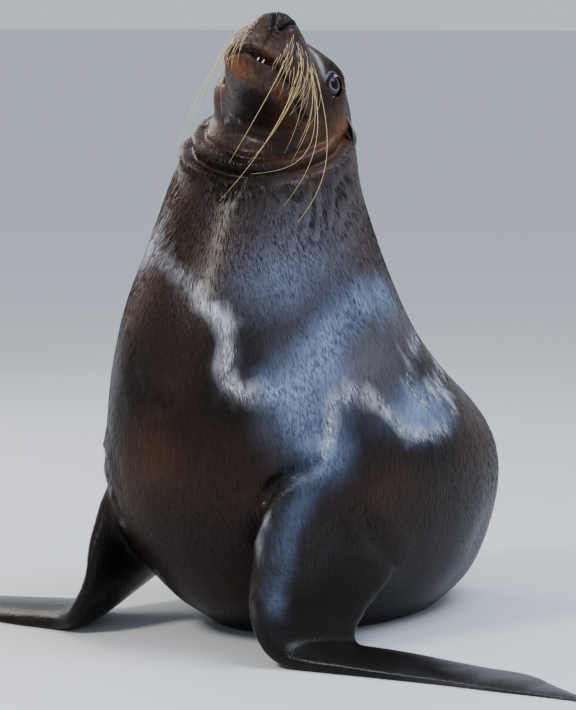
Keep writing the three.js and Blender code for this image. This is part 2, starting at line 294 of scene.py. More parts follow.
# %% Work the folds in
# Each fold, in millimetres: depth, width of the groove, height of the rolls beside it, how far off they
# lie, and its path.
FOLDS = {
    "under the jaw": (5, 6, 0, 15, [
        (128, -135, 762), (116, -176, 748), (105, -197, 741), (79, -221, 738), (47, -235, 740),
        (-10, -231, 755), (-46, -215, 766), (-75, -180, 782)]),
    "from ear to ear": (9, 7, 5, 15, [
        (124, -60, 772), (130, -89, 761), (137, -114, 745), (138, -142, 734), (131, -171, 724),
        (118, -198, 717), (92, -226, 713), (63, -245, 712), (30, -253, 716), (-8, -251, 724),
        (-50, -238, 737), (-88, -205, 754), (-108, -160, 772), (-106, -110, 787)]),
    "neck, upper": (3, 8, 2, 20, [(147, -143, 702), (144, -175, 687), (135, -204, 669)]),
    "neck, lower": (3, 9, 2, 20, [(149, -99, 693), (155, -155, 667), (150, -190, 645)]),
    "neck, back": (3, 10, 2, 25, [(-120, -60, 745), (-140, -100, 710), (-142, -160, 680)]),
    "breast": (4, 9, 3, 20, [
        (-76, -354, 461), (-60, -366, 440), (-47, -376, 416), (-11, -389, 380), (35, -387, 376)]),
    "over the left arm": (11, 8, 6, 20, [
        (168, -345, 205), (170, -335, 235), (172, -311, 260), (183, -286, 276), (204, -249, 288)]),
    "over the right arm": (9, 8, 5, 20, [
        (-172, -268, 292), (-150, -318, 282), (-120, -354, 265), (-100, -366, 235), (-85, -362, 195)]),
    "left flank": (3, 12, 2, 30, [(228, -161, 205), (223, -117, 152), (214, -80, 115)]),
    "right flank": (3, 12, 2, 30, [(-226, -140, 205), (-220, -100, 152), (-208, -60, 105)]),
}


def normals_of(mesh):
    """The outward direction at each corner."""
    mesh.update()
    return read(mesh.vertex_normals, "vector", 3)


places = read(skin_mesh.vertices, "co", 3)
normals = normals_of(skin_mesh)
push = np.zeros(len(places))
for *sizes, path in FOLDS.values():
    depth, width, roll, off = np.array(sizes) / 1000
    away = body_distance(places, path)
    push -= depth * bell(away, width)
    push += roll * bell(away - off, 0.55 * off)
push *= ramp(places[:, 2], 0.0, 0.03)
places = places + push[:, None] * normals
put(skin_mesh, places)
print("folds:", len(FOLDS), "deepest:", round(float(push.min()) * 1000, 1), "mm")

# %% [markdown]
# ## The face
# The mouth line runs back under the whisker pads, with lips rolled along it, and parts a little in front,
# where two lower teeth show. A groove joins lip and nose pad, and the nostrils are two slanting slits.
# Around each eye the hide is laid over the ball, thick at the rim of the lids.

# %% Lips, nose and whisker pads
MOUTH_LINE = np.array([(250, -30), (238, -30), (215, -36), (190, -42), (160, -42), (124, -43)], float)[::-1]
GAPE_AT, GAPE_HALF = 6, 17  # where the lips part in front, and how far to each side
NOSE_MIDDLE = 3.5  # the nose sits a little to the left
NOSTRIL = np.array([(5.5, 9), (9, 15.5), (11.5, 23.5), (14.5, 30)], float)


def nose_pad(left, up):
    """Below 1 on the bare nose pad, which is broad above and narrow below."""
    side = np.abs(left - NOSE_MIDDLE)
    return np.hypot(side / (9 + 0.34 * np.clip(up, 0, 40)), (up - 20) / 22)


def nostril_distance(left, up):
    """How far each place is from the slit of the nearer nostril."""
    return path_distance(np.stack([np.abs(left - NOSE_MIDDLE), up], 1), NOSTRIL)


def above_mouth(forward, up):
    """How far above the mouth line each place is."""
    return up - np.interp(forward, MOUTH_LINE[:, 0], MOUTH_LINE[:, 1])


def gape_share(left, forward):
    """How much the lips part at each place: only at the very front."""
    return bell((left - GAPE_AT) / GAPE_HALF, 1) * ramp(forward, 205, 222)


normals = normals_of(skin_mesh)
spots = to_head(places)
left, forward, up = spots.T
above = above_mouth(forward, up)
lips = ramp(forward, 118, 134)
gape = gape_share(left, forward)
push = lips * (-4.5 * bell(above, 2.4) + 1.8 * bell(above - 8, 5) + 1.4 * bell(above + 8, 5))
push -= 4.0 * gape * bell(above + 0.5, 3.6)
front = ramp(forward, 215, 232)
push -= front * 2.0 * bell(left - 0.7 * NOSE_MIDDLE, 2.6) * ramp(up, -30, -24) * ramp(up, 12, 4)
slit = nostril_distance(left, up)
push += front * (-4.5 * bell(slit, 1.7) + 1.0 * bell(slit - 4.5, 2.2))
push -= front * 1.1 * bell((nose_pad(left, up) - 1) * 12, 2.0)
push += 2.6 * oval(on_left(spots), (40, 198, -10), 19)
places = places + push[:, None] * normals * (HEAD_SCALE / 1000)
put(skin_mesh, places)
print("face: lips pushed by", round(float(push.min()), 1), "to", round(float(push.max()), 1), "mm")

# %% Eyelids
EYE_RADIUS = 19 / HEAD_SCALE
LIDS_REACH = 2.3 * EYE_RADIUS
CORNER = np.array([0.37, -0.37, -0.85])  # towards the weeping corner of the lids
CORNER -= (CORNER @ GAZE) * GAZE
CORNER /= norm(CORNER)


def eye_angles(spots):
    """Distance and direction from the left eye's centre, share ahead, angle towards the corner of the
    lids, how far to their hind side, and how far from the middle of the opening, 1 on its edge. The
    opening is a drop that points to its corner."""
    out = spots - EYE_AT
    reach = norm(out, axis=1)
    way = out / reach[:, None]
    ahead = way @ GAZE
    along = np.arctan2(way @ CORNER, ahead)
    across = np.arctan2(way @ np.cross(GAZE, CORNER), ahead)
    narrow = 0.54 * (1 - 0.75 * ramp(along, 0.1, 0.95))
    opened = np.hypot(along / np.where(along > 0, 0.95, 0.56), across / narrow)
    hind = -np.sin(across) / np.hypot(np.sin(along), np.sin(across) + 1e-9)
    return reach, way, ahead, along, hind, opened


def lids(spots):
    """The skin near the left eye, laid over the ball and opened."""
    reach, way, ahead, along, hind, opened = eye_angles(spots)
    # Over the ball the hide lies on a dome 1 mm clear of it, with a soft passage.
    dome = EYE_RADIUS + 1.0
    over = (reach + dome + np.sqrt((reach - dome) ** 2 + 25)) / 2
    # The lids are thick at their rim, and a crease and a ridge follow the upper one.
    lid = EYE_RADIUS + (1.9 - 0.8 * ramp(hind, 0.2, 0.8)) * ramp(opened, 0.98, 1.10)
    lid += ramp(along, 0.2, -0.2) * (0.9 * bell(opened - 1.72, 0.17) - 1.2 * bell(opened - 1.36, 0.12))
    laid = np.minimum(np.maximum(over, lid), lid + 1.5)
    wanted = over + ramp(opened, 2.7, 1.8) * (laid - over)
    wanted = np.where(opened < 0.98, np.where(along > 0.60, 1.02, 0.86) * EYE_RADIUS, wanted)
    near = ramp(reach, LIDS_REACH, 1.6 * EYE_RADIUS) * ramp(ahead, -0.3, 0.2)
    return EYE_AT + way * (reach + near * (wanted - reach))[:, None]


spots = to_head(places)
reach, _ = from_eye(spots)
for sign in (1, -1):
    here = (spots[:, 0] * sign > 0) & (reach < LIDS_REACH)
    spots[here] = lids(spots[here] * (sign, 1, 1)) * (sign, 1, 1)
places = from_head(spots)
put(skin_mesh, places)
print("lids laid over balls of", round(2 * EYE_RADIUS * HEAD_SCALE, 1), "mm")

# %% [markdown]
# ## What colour lies where
# The coat is close to black where it is soaked and turns blue grey where it begins to dry. A pale
# speckled band crosses the breast from the right side of the neck to the left arm. Blue grey fur lies
# over each shoulder, with a pale ragged fringe behind it and a ring on the flank. These pale and blue
# grey markings are partly the coat's own colour and partly a painted sheen of sun and sky on wet fur.
# The blue grey strip down the front of each arm is a painted reflection of the sky. A pale line along
# its leading edge, a glint on the right of the neck and a pale rim low on each haunch are painted
# highlights. The grooves of the folds are painted shade, with painted highlights on the throat's crests,
# and painted shade darkens the coat low on the body. Chin and cheeks are rusty brown, the rump is warm
# brown, and nose and flippers are bare black skin. Skin and coat take their colour from the same
# function, so the markings agree.

# %% Colours and markings


def tint(code):
    """Linear red, green and blue of an sRGB code."""
    share = np.array([int(code[k:k + 2], 16) for k in (0, 2, 4)]) / 255
    return np.where(share < 0.04045, share / 12.92, ((share + 0.055) / 1.055) ** 2.4)


WET, WARM, RUST = tint("100b09"), tint("432b1e"), tint("744426")
# The blue grey stands partly for drying fur and partly for a painted sheen of sky on wet fur. The pale is
# used for pale fur and also for painted highlights.
DRY_AND_SHEEN, GREY, PALE = tint("8496b8"), tint("64636a"), tint("bcc0ca")
BLACK, LEATHER, MOUTH, CARUNCLE = tint("0c0a0a"), tint("13100f"), tint("1c0c0b"), tint("8a6468")
# These two greys are used only for painted highlights and painted sheen: on the crests of the throat's
# folds, low on the haunches, before the eyes, on the lids and along the ears.
HIGHLIGHT_GREY, SLATE = tint("a09ea6"), tint("7c828e")

# Bands: colour, share, half width, whether on both sides of the body, path. Sizes in millimetres.
BANDS = [
    # The breast band: pale speckled fur, partly a painted sheen of sun on the wet coat.
    (PALE, 0.85, 6.5, False, [
        (-70, -297, 600), (-26, -318, 582), (29, -332, 555), (76, -336, 518), (104, -328, 495),
        (110, -334, 464), (112, -342, 426), (118, -343, 406), (143, -324, 393), (168, -293, 402)]),
    # Blue grey over the shoulders: partly drying fur, partly a painted sheen of sky.
    (DRY_AND_SHEEN, 0.8, 15, False, [
        (168, -293, 402), (189, -258, 416), (195, -232, 446), (199, -194, 483), (197, -128, 526),
        (186, -60, 528)]),
    (DRY_AND_SHEEN, 0.75, 26, True, [
        (186, -275, 405), (188, -267, 385), (193, -262, 364), (200, -252, 335), (207, -238, 310)]),
    # A painted reflection of the sky down the front of each arm.
    (DRY_AND_SHEEN, 0.7, 12, True, [
        (209, -237, 300), (204, -275, 239), (208, -328, 186), (202, -337, 108), (206, -338, 86)]),
    # The pale fringe and the ring on the flank: partly pale fur, partly a painted sheen on the wet coat.
    (PALE, 1.0, 5, True, [
        (209, -243, 305), (211, -228, 334), (210, -220, 382), (223, -171, 397), (232, -133, 382),
        (239, -114, 352), (246, -71, 324), (248, -19, 311), (237, 37, 332), (223, 62, 354)]),
    (PALE, 1.0, 5, True, [
        (180, 25, 459), (216, -39, 430), (230, -56, 396), (237, -39, 366), (222, 22, 379), (180, 91, 398),
        (170, 76, 424)]),
    # A painted highlight along the leading edge of each fore arm.
    (PALE, 0.6, 4, True, [
        (183, -337, 228), (187, -352, 199), (185, -360, 167), (182, -367, 131), (179, -369, 99),
        (183, -368, 67), (195, -365, 37)]),
    # A painted highlight low on each haunch.
    (HIGHLIGHT_GREY, 0.5, 20, True, [(210, 167, 160), (199, 145, 102), (184, 100, 47)]),
]
# Patches: colour, share, whether on both sides, centre and half sizes in millimetres.
PATCHES = [
    (WARM, 0.8, False, (-100, -215, 665), (50, 90, 90)),
    (WARM, 0.6, True, (165, -120, 630), (50, 70, 90)),
    (WARM, 0.7, False, (-85, -335, 520), (50, 60, 60)),
    # A painted highlight: a glint of sun on the right side of the neck.
    (PALE, 0.95, False, (-105, -274, 602), (24, 30, 36)),
    (WARM, 0.5, False, (10, -398, 295), (60, 50, 80)),
    (GREY, 0.4, False, (-120, -345, 400), (30, 50, 110)),
    (GREY, 0.45, True, (150, -150, 650), (70, 100, 80)),
    # The blue grey patches here are partly drying fur and partly a painted sheen of sky.
    (DRY_AND_SHEEN, 0.30, False, (145, -250, 565), (60, 90, 60)),
    (GREY, 0.6, True, (215, -140, 435), (60, 90, 50)),
    (DRY_AND_SHEEN, 0.35, True, (200, -215, 415), (40, 40, 50)),
    (GREY, 0.5, True, (180, -40, 500), (70, 80, 50)),
    (DRY_AND_SHEEN, 0.85, True, (235, -40, 352), (50, 65, 32)),
    (WARM, 0.6, True, (215, 130, 290), (80, 90, 90)),
    (GREY, 0.35, True, (150, 160, 380), (80, 60, 80)),
    (WARM, 0.5, True, (235, -110, 215), (40, 50, 80)),
]
RING_HEART, HEART_HALF = (0.213, 0, 0.414), (0.03, 0.045, 0.02)  # the ring's dark middle


def lumps(places, size, seed=0):
    """Smooth noise from -1 to 1 with lumps of about this size, in metres."""
    scaled = np.asarray(places) / size + seed * 17.31
    cell = np.floor(scaled).astype(np.int64)
    part = scaled - cell
    part = part * part * (3 - 2 * part)
    total = np.zeros(len(scaled))
    for corner in np.ndindex(2, 2, 2):
        mixed = (cell + corner) @ np.array([73856093, 19349663, 83492791])
        mixed = (mixed ^ (mixed >> 13)) * 1274126177 & 0x7FFFFFFF
        value = (mixed >> 7 & 0xFFFF) / 32767.5 - 1
        total += value * np.prod(np.where(corner, part, 1 - part), axis=1)
    return total


def bare_share(places):
    """1 on the bare skin of the flippers, 0 on fur."""
    x, y, z = places.T
    side = np.abs(x)
    low = z + 0.25 * (side - 0.2) + 0.018 * lumps(places, 0.035, 8)
    fore = ramp(low, 0.110, 0.045) * ramp(side, 0.150, 0.185) * ramp(y, -0.04, -0.12)
    fore = np.maximum(fore, ramp(side + 0.012 * lumps(places, 0.02, 2), 0.262, 0.300))
    _, _, hind = part_masks(places)
    return np.maximum(fore, hind)


def face_share(places):
    """1 on the face, 0 behind the ears and below the throat."""
    left, forward, up = to_head(places).T
    return ramp(forward, 20, 80) * (np.abs(left) < 110) * ramp(up, -130, -95)


def mix(colours, colour, share):
    """The colours, moved towards one colour by a share from 0 to 1."""
    return colours + np.clip(share, 0, 1)[:, None] * (colour - colours)


def coat_colours(places, speckle=0.0):
    """The colour at each place. Speckle, from -1 to 1, frays the edges of the markings."""
    ragged = places + np.stack([
        0.006 * lumps(places, 0.02, k) + 0.009 * lumps(places, 0.05, k) for k in range(3)], 1)
    sleek = ramp(places[:, 2], 0.64, 0.40)
    warm = 0.25 - 0.12 * sleek + 0.25 * lumps(places, 0.09, 5) + (0.3 - 0.25 * sleek) * speckle
    colours = mix(np.tile(WET, (len(places), 1)), WARM, warm)
    fray = 1 + 1.2 * (1 - 0.75 * sleek) * speckle
    for colour, share, both, centre, half in PATCHES:
        for mirror in (1, -1) if both else (1,):
            near = oval(ragged * (mirror, 1, 1), np.array(centre) / 1000, np.array(half) / 1000)
            colours = mix(colours, colour, np.clip(near * fray, 0, 1) * share)
    for colour, share, width, both, path in BANDS:
        broken, loose = (0.8, 1.6) if colour is PALE else (0.2, 0.3)
        worn = 0.9 + broken * lumps(places, 0.007, 6) + 0.3 * lumps(places, 0.03, 7)
        for mirror in (1, -1) if both else (1,):
            near = bell(body_distance(ragged * (mirror, 1, 1), path), 1.6 * (width / 1000)) * worn
            colours = mix(colours, colour, share * near * (0.85 + loose * speckle))
    for mirror in (1, -1):
        colours = mix(colours, WET, 0.9 * oval(ragged * (mirror, 1, 1), RING_HEART, HEART_HALF))
    # Painted shade: the coat is darker low on the body.
    under = 0.35 * ramp(places[:, 2] - 0.10 * lumps(places, 0.1, 9), 0.30, 0.16)
    colours = mix(colours, WET * 0.8, 1 - (1 - under) ** 2)
    # Painted highlights, speckled, along the crests beside the throat's two folds.
    for name in ("under the jaw", "from ear to ear"):
        crest_glint = bell(body_distance(places, FOLDS[name][-1]) - 0.015, 0.006)
        crest_glint *= ramp(lumps(places, 0.02, 14), -0.1, 0.4)
        colours = mix(colours, HIGHLIGHT_GREY, 0.22 * crest_glint * ramp(speckle, 0.15, 0.5))
    # Painted shade in the groove of each fold.
    for _, width, _, _, path in FOLDS.values():
        groove = bell(body_distance(places, path), 0.8 * (width / 1000))
        colours = mix(colours, BLACK, 0.75 * groove)
    return face_colours(places, colours, speckle)


# A line of painted shade running down from the corner of each eye's lids.
CORNER_SHADE_LINE = [(70, 106, 6), (72, 103, -2)]
# A painted sheen of wet fur along the muzzle before each eye.
EYE_SHEEN = [(28, 150, 43), (33, 145, 40), (44, 144, 32), (52, 137, 26)]
# Patches of the face, in the head's frame: colour, share, centre, half sizes, whether on both sides.
FACE_PATCHES = [
    (RUST, 0.5, (88, 62, -12), (18, 26, 30), True),
    (RUST, 0.35, (80, 78, -44), (22, 30, 20), True),
    (RUST, 0.55, (-22, 212, -50), (26, 22, 13), False),
    (RUST, 0.35, (38, 204, -52), (10, 30, 10), False),
    (BLACK, 0.9, (6, 160, -66), (30, 44, 26), True),
    (BLACK, 0.7, (26, 110, -78), (44, 30, 20), True),
    # A painted highlight on the right side under the chin.
    (GREY, 0.2, (-44, 118, -66), (16, 24, 16), False),
    (WET, 0.8, (52, 116, 50), (22, 22, 14), True),
    (BLACK, 0.85, (66, 124, -6), (13, 20, 17), True),
    (WET, 0.5, (0, 240, 2), (20, 20, 18), True),
]
# Where single pale bristles stand on the whisker pads, and where painted wet highlights speckle the right
# side under the chin: centre, half sizes.
BRISTLES_AND_GLINTS = [
    ((38, 220, 2), (14, 20, 18)), ((-38, 220, 2), (14, 20, 18)), ((-38, 116, -72), (18, 28, 16)),
]


def face_colours(places, colours, speckle):
    """The colours with the markings of the face laid over them."""
    spots = to_head(places)
    left, forward, up = spots.T
    face = face_share(places)
    colours = mix(colours, WARM, face * (0.55 + 0.3 * speckle))
    colours = mix(colours, GREY, face * ramp(forward, 130, 210) * (0.10 + 0.35 * speckle))
    for colour, share, centre, half, both in FACE_PATCHES:
        near = oval(on_left(spots) if both else spots, centre, half)
        colours = mix(colours, colour, face * share * ramp(near * (1 + 0.9 * speckle), 0.1, 0.8))
    for centre, half in BRISTLES_AND_GLINTS:
        pale_speckles = ramp(speckle, 0.15, 0.5) * oval(spots, centre, half)
        colours = mix(colours, PALE, 0.55 * face * pale_speckles)
    # Painted sheen before each eye.
    for mirror in (1, -1):
        stripe = path_distance(spots * (mirror, 1, 1), EYE_SHEEN)
        colours = mix(colours, HIGHLIGHT_GREY, 0.8 * face * bell(stripe, 6.5) * (1 + 0.6 * speckle))
    above, gape = above_mouth(forward, up), gape_share(left, forward)
    for colour, share in (
            (BLACK, 0.9 * ramp(forward, 112, 134) * bell(above, 4.0)),
            (MOUTH, 1.4 * gape * bell(above + 1, 6.0)),
            (RUST, 0.3 * gape * bell(above - 7, 3.0)),
            (RUST, 0.5 * bell(np.hypot(forward - 118, above), 7) * (np.abs(left) > 20))):
        colours = mix(colours, colour, share)
    colours = eye_colours(on_left(spots), colours)
    nose = ramp(forward, 214, 228)
    colours = mix(colours, tint("1c1412"), nose * ramp(nose_pad(left, up), 1.12, 0.95))
    # Painted shade deep in the nostril slits.
    return mix(colours, tint("040304"), nose * bell(nostril_distance(left, up), 2.0))


def eye_colours(spots, colours):
    """The colours of the lids: painted sheen and painted shade at the ridge above, a painted lit brown
    behind, dark rims, painted highlights on the wet rims and corner, the caruncle, and painted shade below
    the corner.
    """
    reach, _, _, along, hind, opened = eye_angles(spots)
    near = ramp(reach, 1.6 * EYE_RADIUS, 1.3 * EYE_RADIUS)
    above_eye, below_eye = ramp(along, 0.15, -0.15), ramp(along, 0.15, 0.45)
    for colour, share in (
            # Painted sheen on the ridge above the lids, and painted shade beneath it.
            (SLATE, 0.6 * above_eye * bell(opened - 1.72, 0.12)),
            (BLACK, above_eye * ramp(opened, 1.62, 1.45)),
            # A lighter brown, painted as the lit side of the ridge behind.
            (WARM * 1.6, 0.8 * bell(opened - 1.5, 0.25) * ramp(hind, 0.3, 0.8)),
            (BLACK, ramp(opened, 1.32 - 0.12 * (hind > 0.4), 1.12)),
            # A painted highlight on the wet lower rim of the lids.
            (SLATE, 0.8 * bell(opened - 1.35, 0.09) * below_eye * ramp(hind, 0.2, -0.4)),
            (CARUNCLE, ramp(opened, 1.0, 0.9) * (along > 0.55)),
            # Painted highlights at the wet corner of the lids and, brightest, along the upper lid's edge.
            (PALE, 0.7 * bell(opened - 1.10, 0.10) * ramp(along, 0.60, 0.85)),
            (PALE, 0.9 * bell(opened - 1.06, 0.10) * above_eye * ramp(hind, -0.4, 0.1))):
        colours = mix(colours, colour, near * share)
    # A line of painted shade below the corner of the lids.
    return mix(colours, BLACK, 0.7 * bell(path_distance(spots, CORNER_SHADE_LINE), 2.4))


def fur_room(places):
    """How much fur grows at each place: 0 on flippers, nose, lips, eyes and underneath, 1 elsewhere."""
    spots = to_head(places)
    left, forward, up = spots.T
    above = np.abs(above_mouth(forward, up))
    reach, _, _, _, _, opened = eye_angles(on_left(spots))
    room = 1 - ramp(bare_share(places), 0.3, 0.9)
    room *= ramp(places[:, 2], 0.004, 0.012)
    room *= 1 - ramp(forward, 214, 224) * (nose_pad(left, up) < 1.06)
    room *= 1 - ramp(forward, 112, 126) * (above < 3.5)
    room *= 1 - (gape_share(left, forward) > 0.3) * (above < 8)
    room *= 1 - (opened < 1.25) * (reach < 1.5 * EYE_RADIUS)
    return room


def flipper_colours(places, colours):
    """The colours with the bare skin of the flippers laid over them, worn grey towards the tips."""
    bare = bare_share(places)
    colours = mix(colours, LEATHER, bare)
    grain = lumps(places * (1, 1, 3), 0.03, 3)
    outer = bare * ramp(np.abs(places[:, 0]), 0.34, 0.52)
    return mix(colours, GREY * 0.8, outer * (0.28 + 0.3 * grain))


def store(mesh, name, values):
    """Keeps one number for each corner of a mesh under this name."""
    mesh.attributes.new(name, "FLOAT", "POINT").data.foreach_set("value", values)


def set_tone(mesh, colours):
    """Keeps the colour of each corner of a mesh as its attribute tone."""
    tone = mesh.attributes.get("tone") or mesh.attributes.new("tone", "FLOAT_COLOR", "POINT")
    tone.data.foreach_set("color", np.column_stack([colours, np.ones(len(colours))]).ravel())


def paint(mesh, places, speckle=0.0):
    """Colours a mesh's corners by where they are, and marks the bare ones. Returns the colours."""
    colours = flipper_colours(places, coat_colours(places, speckle))
    set_tone(mesh, colours)
    store(mesh, "bare", bare_share(places))
    return colours


# The skin lies under the coat by the coat's depth, which is least on the face.
COAT_DEPTH = 0.0013
depth = COAT_DEPTH * (fur_room(places) * (1 - 0.7 * face_share(places)))
places = places - depth[:, None] * normals_of(skin_mesh)
put(skin_mesh, places)
streaks = lumps(places * (1, 1, 0.35), 0.0045, 21)
paint(skin_mesh, places, streaks * (0.15 + 0.4 * face_share(places)))
print("markings:", len(BANDS), "bands,", len(PATCHES), "patches")

# %% [markdown]
# ## Materials
# Wet fur and wet skin are dark and glossy. Fine streaks in the bump, drawn out along the lie of the
# coat, stand for single hairs. A thin clear layer stands for the film of water.

# %% Material helpers and materials
BARE_ROUGHNESS = 0.27  # of the skin of the flippers


def new_material(name):
    """A new material and its main shader."""
    material = bpy.data.materials.new(name)
    material.use_nodes = True
    return material, material.node_tree.nodes["Principled BSDF"]


def plain_material(name, code, roughness):
    """A material of one colour."""
    material, shader = new_material(name)
    feed(material.node_tree, shader, {"Base Color": (*tint(code), 1), "Roughness": roughness})
    return material


def add(tree, kind, inputs, **settings):
    """A new node with these settings and inputs."""
    node = tree.nodes.new(kind)
    for key, value in settings.items():
        setattr(node, key, value)
    feed(tree, node, inputs)
    return node


def feed(tree, node, inputs):
    """Sets the inputs of a node. Each is a value, an output, or a node whose first output feeds it."""
    for key, value in inputs.items():
        if isinstance(value, bpy.types.Node):
            value = value.outputs[0]
        if isinstance(value, bpy.types.NodeSocket):
            tree.links.new(value, node.inputs[key])
        else:
            node.inputs[key].default_value = value


def hide_material(name, grain, drawn_out, bump, gloss, film, shine):
    """Fur or skin coloured by the attribute tone. Grain is the width of a streak in metres, and
    drawn_out how many times longer it is."""
    material, shader = new_material(name)
    tree = material.node_tree
    tone = add(tree, "ShaderNodeAttribute", {}, attribute_name="tone")
    bare = add(tree, "ShaderNodeAttribute", {}, attribute_name="bare").outputs["Fac"]
    place = add(tree, "ShaderNodeTexCoord", {}).outputs["Object"]
    drawn = add(tree, "ShaderNodeMapping", {"Vector": place, "Scale": (1, 1, 1 / drawn_out)})
    streaks = add(tree, "ShaderNodeTexNoise", {"Vector": drawn, "Scale": 0.5 / grain, "Detail": 2.0})
    fade = add(tree, "ShaderNodeMapRange", {
        "Value": streaks, "From Min": 0.3, "From Max": 0.7, "To Min": 0.82, "To Max": 1.2})
    shade = add(tree, "ShaderNodeVectorMath", {0: tone, "Scale": fade}, operation="SCALE")
    rough = add(tree, "ShaderNodeMapRange", {"Value": bare, "To Min": gloss, "To Max": BARE_ROUGHNESS})
    dents = add(tree, "ShaderNodeBump", {"Height": streaks, "Strength": bump, "Distance": grain})
    feed(tree, shader, {
        "Base Color": shade, "Roughness": rough, "Normal": dents, "Coat Weight": film,
        "Coat Roughness": 0.18, "Specular IOR Level": shine})
    return material


SKIN = hide_material("wet hide", 0.0018, 7.0, 0.6, 0.36, 0.06, 0.10)
skin_mesh.materials.append(SKIN)

EYE, shader = new_material("wet eyeball")
share = add(EYE.node_tree, "ShaderNodeAttribute", {}, attribute_name="ring").outputs["Fac"]
rings = add(EYE.node_tree, "ShaderNodeValToRGB", {"Fac": share})
stops = rings.color_ramp.elements
stops[0].color = stops[1].color = (*tint("0a0707"), 1)
# A dark pupil and iris, and a pale rim where the iris meets the white.
IRIS = ((0.10, "0c0808"), (0.158, "140c0c"), (0.164, "84828c"), (0.178, "74747e"), (0.190, "3a3236"))
for spot, code in IRIS:
    stops.new(spot).color = (*tint(code), 1)
feed(EYE.node_tree, shader, {"Base Color": rings, "Roughness": 0.06, "Specular IOR Level": 0.2})

WHISKER = plain_material("whisker, stiff pale hair", "dcbf88", 0.38)
TOOTH = plain_material("tooth, wet enamel", "e6dfd0", 0.15)
CLAW = plain_material("claw horn", "4a423b", 0.35)
for name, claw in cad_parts.items():
    if "claw" in name:
        claw.data.materials.clear()
        claw.data.materials.append(CLAW)
print("materials:", ", ".join(material.name for material in (SKIN, EYE, WHISKER, TOOTH, CLAW)))

# %% [markdown]
# ## Eyes, ears and teeth
# Each eye is a glossy ball with a dark iris, rimmed pale, that fills the opening. The ears are the small
# rolled, pointed flaps that a sea lion has and a true seal lacks. The front teeth show as small points
# where the lips part.

# %% Eyes


def ball(name, centre, radius, pole, rows=48, around=64):
    """A ball with its poles along pole, and each corner's share of the way to the other pole as 'ring'."""
    first = np.cross(pole, (0, 0, 1))
    first /= norm(first)
    second = np.cross(pole, first)
    spots, angles = [centre + radius * pole], [0.0]
    for tip in math.pi * np.arange(1, rows) / rows:
        for turn in np.arange(around) * 2 * math.pi / around:
            sideways = math.cos(turn) * first + math.sin(turn) * second
            spots.append(centre + radius * (math.cos(tip) * pole + math.sin(tip) * sideways))
            angles.append(tip)
    spots.append(centre - radius * pole)
    angles.append(math.pi)
    faces, last = [], 1 + (rows - 2) * around
    for k in range(around):
        after = (k + 1) % around
        faces.append((0, 1 + k, 1 + after))
        for low in range(1, last, around):
            faces.append((low + k, low + around + k, low + around + after, low + after))
        faces.append((len(spots) - 1, last + after, last + k))
    mesh = mesh_from(name, spots, faces)
    store(mesh, "ring", [angle / math.pi for angle in angles])
    return mesh


def finish_piece(mesh, material):
    """A smooth piece of one material, named like its mesh, that goes with the body."""
    work = bmesh.new()
    work.from_mesh(mesh)
    bmesh.ops.recalc_face_normals(work, faces=work.faces)
    work.to_mesh(mesh)
    work.free()
    shade_smooth(mesh)
    mesh.materials.clear()
    mesh.materials.append(material)
    piece = link(mesh.name, mesh)
    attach(piece, "root")
    return piece


for side, sign in (("left", 1), ("right", -1)):
    centre, pole = from_head(EYE_AT * (sign, 1, 1)), head_way(GAZE * (sign, 1, 1))
    eyeball = ball(side + "_eyeball", centre, EYE_RADIUS * HEAD_SCALE / 1000, pole)
    eye = finish_piece(eyeball, EYE)
    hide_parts(side + "_eye")
    print(side, "eyeball:", round(2 * EYE_RADIUS * HEAD_SCALE, 1), "mm across")

# %% Ears
EARS = {"left": ((83, 50, 12), (107, 46, -9)), "right": ((-79, 44, 12), (-102, 34, -12))}
EAR_RINGS, EAR_AROUND = 18, 28


def tube(rings, around, base=0):
    """Faces of a closed tube, whose corners are numbered ring by ring from base."""
    faces, last = [], base + (rings - 1) * around
    for low in range(base, last, around):
        for k in range(around):
            after = (k + 1) % around
            faces.append((low + k, low + after, low + around + after, low + around + k))
    return faces + [tuple(range(end, end + around)) for end in (base, last)]


for side, (root, tip) in EARS.items():
    root, tip = from_head(root), from_head(tip)
    along = tip - root
    length = norm(along)
    along /= length
    front = head_way((0, 1, 0))
    front = front - (front @ along) * along
    front /= norm(front)
    out = np.cross(along, front)
    turns = np.arange(EAR_AROUND) * 2 * math.pi / EAR_AROUND
    spots = []
    for share in np.linspace(-0.15, 1, EAR_RINGS):
        taper = (1 - ramp(share, 0.45, 1.02)) ** 0.7 * (0.75 + 0.25 * ramp(share, -0.1, 0.35))
        wide = 0.0080 * taper + 0.0004
        middle = root + share * length * along + 0.2 * share * share * length * -front
        rolled = 0.75 * ramp(share, 0.0, 0.25) * ramp(share, 1.0, 0.8)
        for turn in turns:
            reach = wide * (1 - rolled * bell(math.remainder(turn, 2 * math.pi), 0.5))
            spots.append(middle + reach * (0.9 * math.cos(turn) * front + 0.85 * math.sin(turn) * out))
    mesh = mesh_from(side + "_ear_flap", spots, tube(EAR_RINGS, EAR_AROUND))
    ear = finish_piece(mesh, SKIN)
    colours = paint(mesh, np.array(spots))
    forwards = np.tile(np.cos(turns), EAR_RINGS)
    # The front of the ear is rolled into a hollow: painted shade darkens the hollow, and a painted
    # highlight runs along the rolled edge.
    colours = mix(0.5 * (colours + WET), HIGHLIGHT_GREY, 0.5 * bell(forwards - 0.45, 0.25))
    set_tone(mesh, mix(colours, BLACK, ramp(forwards, 0.55, 0.9)))
    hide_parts(side + "_ear")
    print(side, "ear flap:", round(length * 1000), "mm long")

